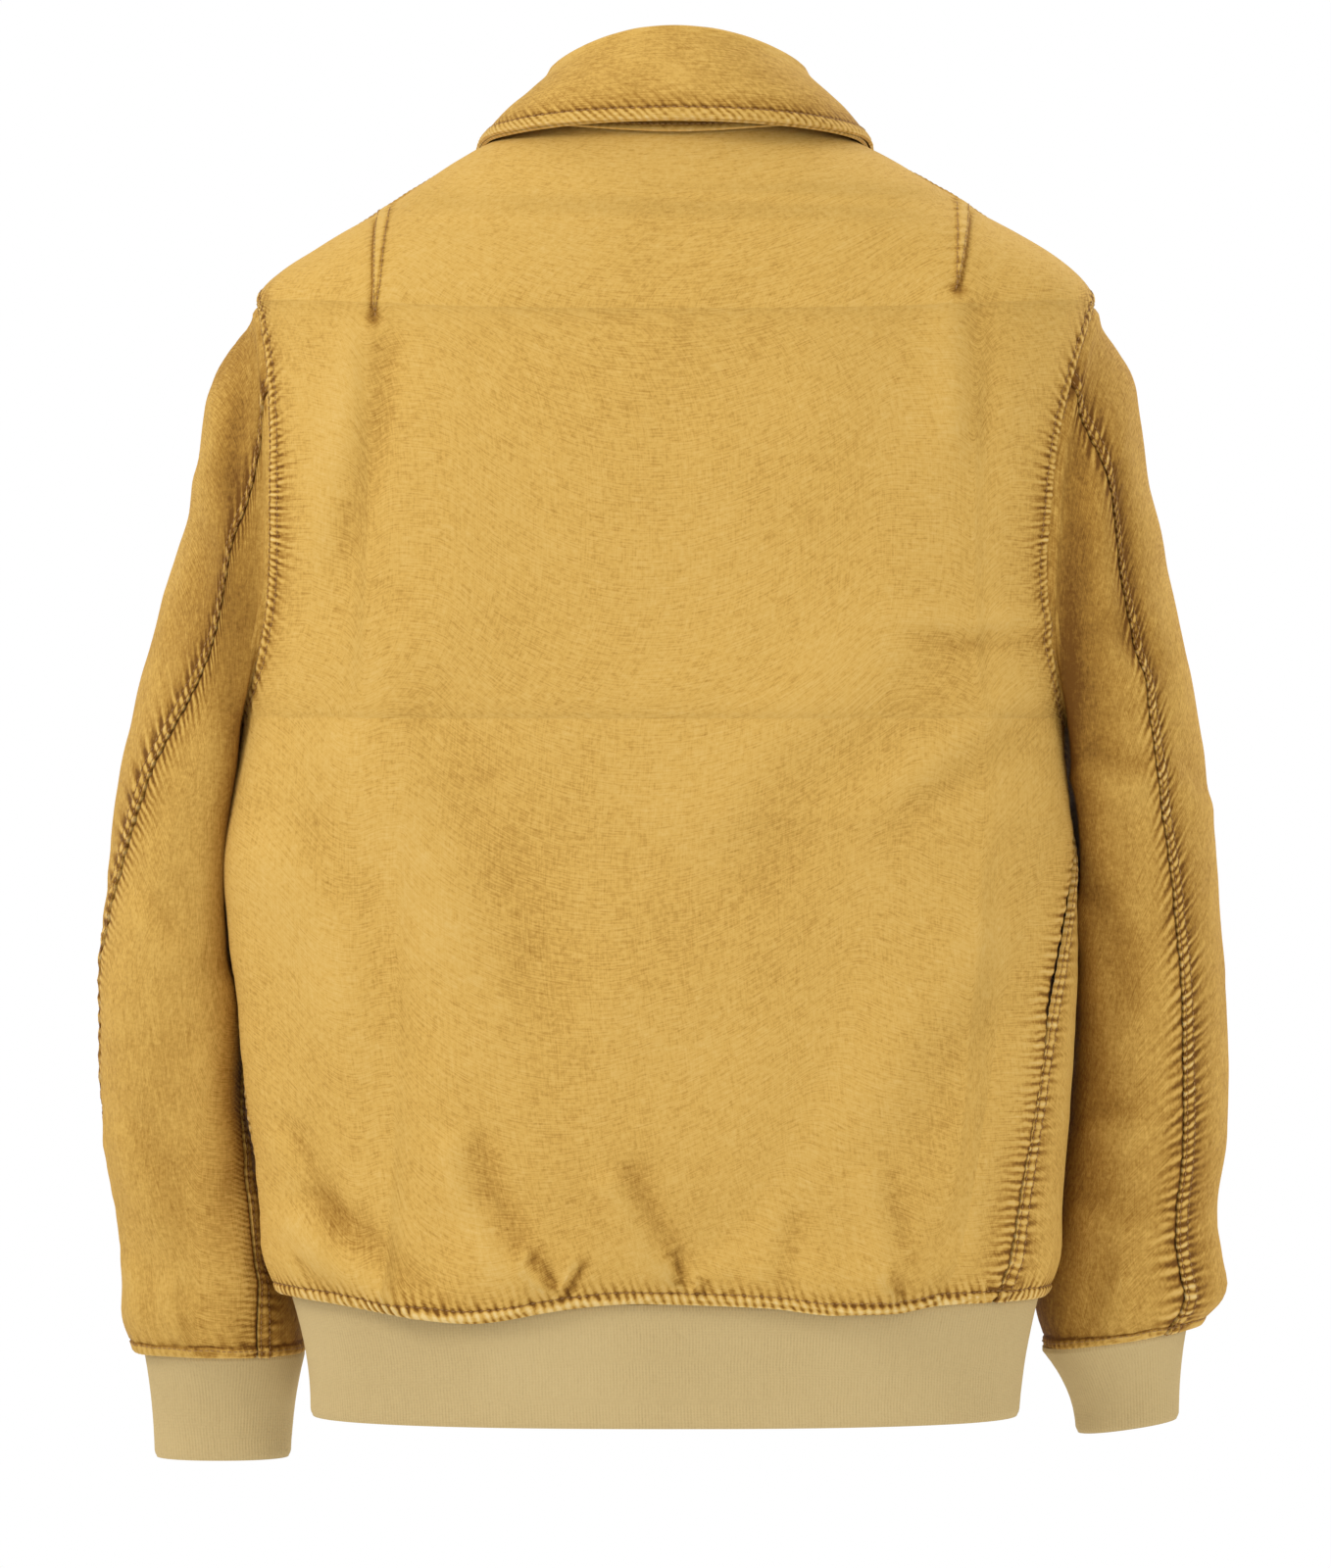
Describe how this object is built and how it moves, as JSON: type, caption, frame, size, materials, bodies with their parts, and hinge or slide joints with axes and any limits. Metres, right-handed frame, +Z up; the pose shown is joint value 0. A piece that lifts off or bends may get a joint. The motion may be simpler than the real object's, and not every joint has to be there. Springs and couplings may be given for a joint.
{
  "type": "jacket",
  "caption": "Short canvas blouson jacket in its worn shape, with a turn-down collar, a front zip and rib-knit hem and cuffs.",
  "frame": {"origin": "top of the hanger loop at its middle, level with the neck seam at the centre back, where a hook bears", "axes": "+Z up, +Y towards the wearer's front, +X towards the wearer's right"},
  "size_m": [0.6108, 0.23, 0.766],
  "materials": {
    "canvas": "washed cotton canvas, matt, faded at the seams",
    "facing": "washed cotton canvas, matt",
    "knit": "beige rib knit, soft",
    "lining": "brown woven lining, slight sheen",
    "tape": "woven tape, matt",
    "zip_metal": "aged brass, satin"
  },
  "bodies": {
    "torso": {"back_panel": "canvas", "right_front_panel": "canvas", "left_front_panel": "canvas", "top_collar": "canvas", "under_collar": "canvas", "right_pocket_welt": "canvas", "left_pocket_welt": "canvas", "right_front_facing": "facing", "left_front_facing": "facing", "back_neck_facing": "facing", "hem_rib": "knit", "back_lining": "lining", "right_front_lining": "lining", "left_front_lining": "lining", "right_pocket_bag": "lining", "left_pocket_bag": "lining", "left_zip_tape": "tape", "right_zip_tape": "tape", "hanger_loop": "tape", "left_zip_chain": "zip_metal", "right_zip_chain": "zip_metal", "left_top_stop": "zip_metal", "right_top_stop": "zip_metal", "zip_retainer_box": "zip_metal"},
    "right_sleeve": {"right_upper_sleeve": "canvas", "right_under_sleeve": "canvas", "right_sleeve_lining": "lining", "right_cuff_rib": "knit"},
    "left_sleeve": {"left_upper_sleeve": "canvas", "left_under_sleeve": "canvas", "left_sleeve_lining": "lining", "left_cuff_rib": "knit"},
    "slider": {"zip_slider": "zip_metal", "zip_pull_bail": "zip_metal"},
    "pull": {"zip_pull_tab": "zip_metal"}
  },
  "joints": [
    {"name": "right_sleeve_lift", "type": "hinge", "parent": "torso", "child": "right_sleeve", "pos_m": [0.224, 0.067, -0.087], "axis": [0, -1, 0], "range_deg": [0, 35]},
    {"name": "left_sleeve_lift", "type": "hinge", "parent": "torso", "child": "left_sleeve", "pos_m": [-0.222, 0.067, -0.087], "axis": [0, 1, 0], "range_deg": [0, 35]},
    {"name": "zip_slide", "type": "slide", "parent": "torso", "child": "slider", "axis": [0, 0.04, -0.9992], "range_m": [0, 0.555]},
    {"name": "pull_swing", "type": "hinge", "parent": "slider", "child": "pull", "pos_m": [0, 0.145, -0.0993], "axis": [1, 0, 0], "range_deg": [0, 150]}
  ]
}
